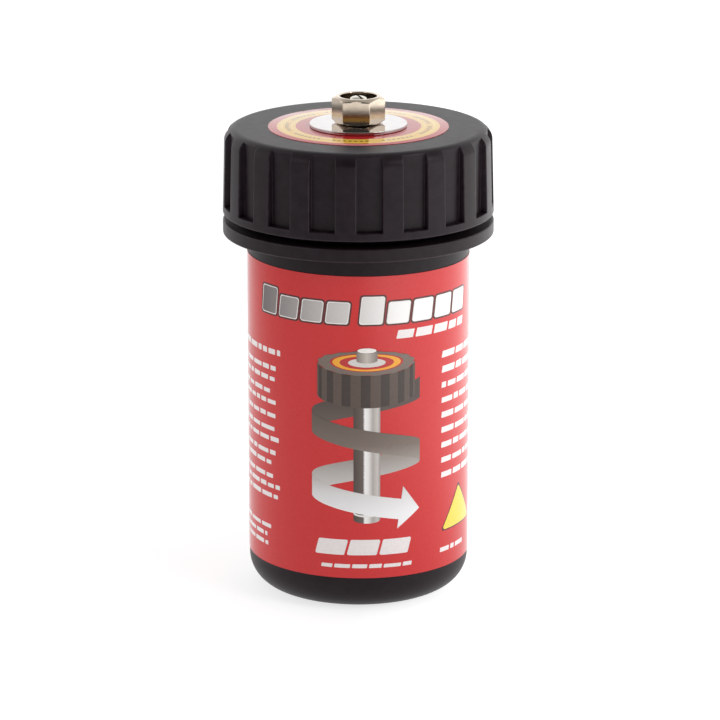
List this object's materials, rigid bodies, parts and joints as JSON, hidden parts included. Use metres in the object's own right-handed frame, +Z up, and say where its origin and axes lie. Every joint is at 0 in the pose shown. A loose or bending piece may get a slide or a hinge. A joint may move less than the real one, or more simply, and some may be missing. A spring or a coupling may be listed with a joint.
{
  "type": "magnetic system filter",
  "caption": "Upright canister filter with a ribbed screw cap, a bleed valve on top, a sheathed magnet core inside and pipe ports at the back.",
  "frame": {"origin": "centre of the canister's flat base, on its vertical axis", "axes": "+Z up the canister's axis towards the cap, -Y towards the front of the label, +Y towards the two pipe ports, +X to the right seen from the front"},
  "size_m": [0.1284, 0.1482, 0.2389],
  "materials": {
    "canister_plastic": "moulded glass-filled nylon, satin with a faint grain",
    "cap_plastic": "moulded glass-filled nylon, satin with a faint grain",
    "label_film": "glossy printed film",
    "sticker_film": "glossy printed film with coloured rings",
    "washer_steel": "mirror-polished stainless steel",
    "fitting_metal": "nickel-plated brass, turned and lightly polished",
    "screw_metal": "nickel-plated brass, bright",
    "port_metal": "machined brass",
    "core_brass": "machined brass",
    "stainless": "drawn stainless steel",
    "sheath_plastic": "moulded nylon",
    "seal_rubber": "moulded rubber",
    "magnet_plating": "nickel-plated sintered magnet",
    "pole_steel": "turned mild steel"
  },
  "bodies": {
    "canister": {"canister": "canister_plastic", "neck_ring": "canister_plastic", "boss_lower": "canister_plastic", "boss_upper": "canister_plastic", "label_wrap": "label_film", "port_lower": "port_metal", "port_upper": "port_metal"},
    "sheath": {"sheath_tube": "stainless", "sheath_collar": "sheath_plastic", "sheath_foot": "sheath_plastic"},
    "mouth_seal": {"mouth_seal": "seal_rubber"},
    "core_ring": {"core_ring": "seal_rubber"},
    "cap": {"cap": "cap_plastic", "cap_sticker": "sticker_film", "cap_gasket": "seal_rubber", "clamp_washer": "washer_steel", "bleed_fitting": "fitting_metal", "core_head": "core_brass", "core_tube": "stainless", "core_foot": "stainless", "stack_pad": "seal_rubber", "magnet_1": "magnet_plating", "magnet_2": "magnet_plating", "magnet_3": "magnet_plating", "magnet_4": "magnet_plating", "magnet_5": "magnet_plating", "magnet_6": "magnet_plating", "pole_piece_1": "pole_steel", "pole_piece_2": "pole_steel", "pole_piece_3": "pole_steel", "pole_piece_4": "pole_steel", "pole_piece_5": "pole_steel", "pole_piece_6": "pole_steel", "pole_piece_7": "pole_steel"},
    "bleed_seal": {"bleed_seal": "seal_rubber"},
    "bleed_screw": {"bleed_screw": "screw_metal"}
  },
  "joints": [
    {"name": "lift_out", "type": "slide", "parent": "canister", "child": "sheath", "axis": [0, 0, 1], "range_m": [0, 0.205]},
    {"name": "core_pull", "type": "slide", "parent": "sheath", "child": "mouth_seal", "axis": [0, 0, 1], "range_m": [0, 0.185]},
    {"name": "cap_rise", "type": "slide", "parent": "mouth_seal", "child": "core_ring", "axis": [0, 0, 1], "range_m": [0, 0.0151]},
    {"name": "cap_turn", "type": "hinge", "parent": "core_ring", "child": "cap", "pos_m": [0, 0, 0.2], "axis": [0, 0, 1], "range_deg": [0, 900]},
    {"name": "bleed_rise", "type": "slide", "parent": "cap", "child": "bleed_seal", "axis": [0, 0, 1], "range_m": [0, 0.0015]},
    {"name": "bleed_turn", "type": "hinge", "parent": "bleed_seal", "child": "bleed_screw", "pos_m": [0, 0, 0.23], "axis": [0, 0, 1], "range_deg": [0, 541]}
  ],
  "couplings": [
    {"joint": "cap_rise", "follows": "cap_turn", "m_per_rad": 0.00095493},
    {"joint": "bleed_turn", "follows": "bleed_rise", "rad_per_m": 6283.2}
  ]
}
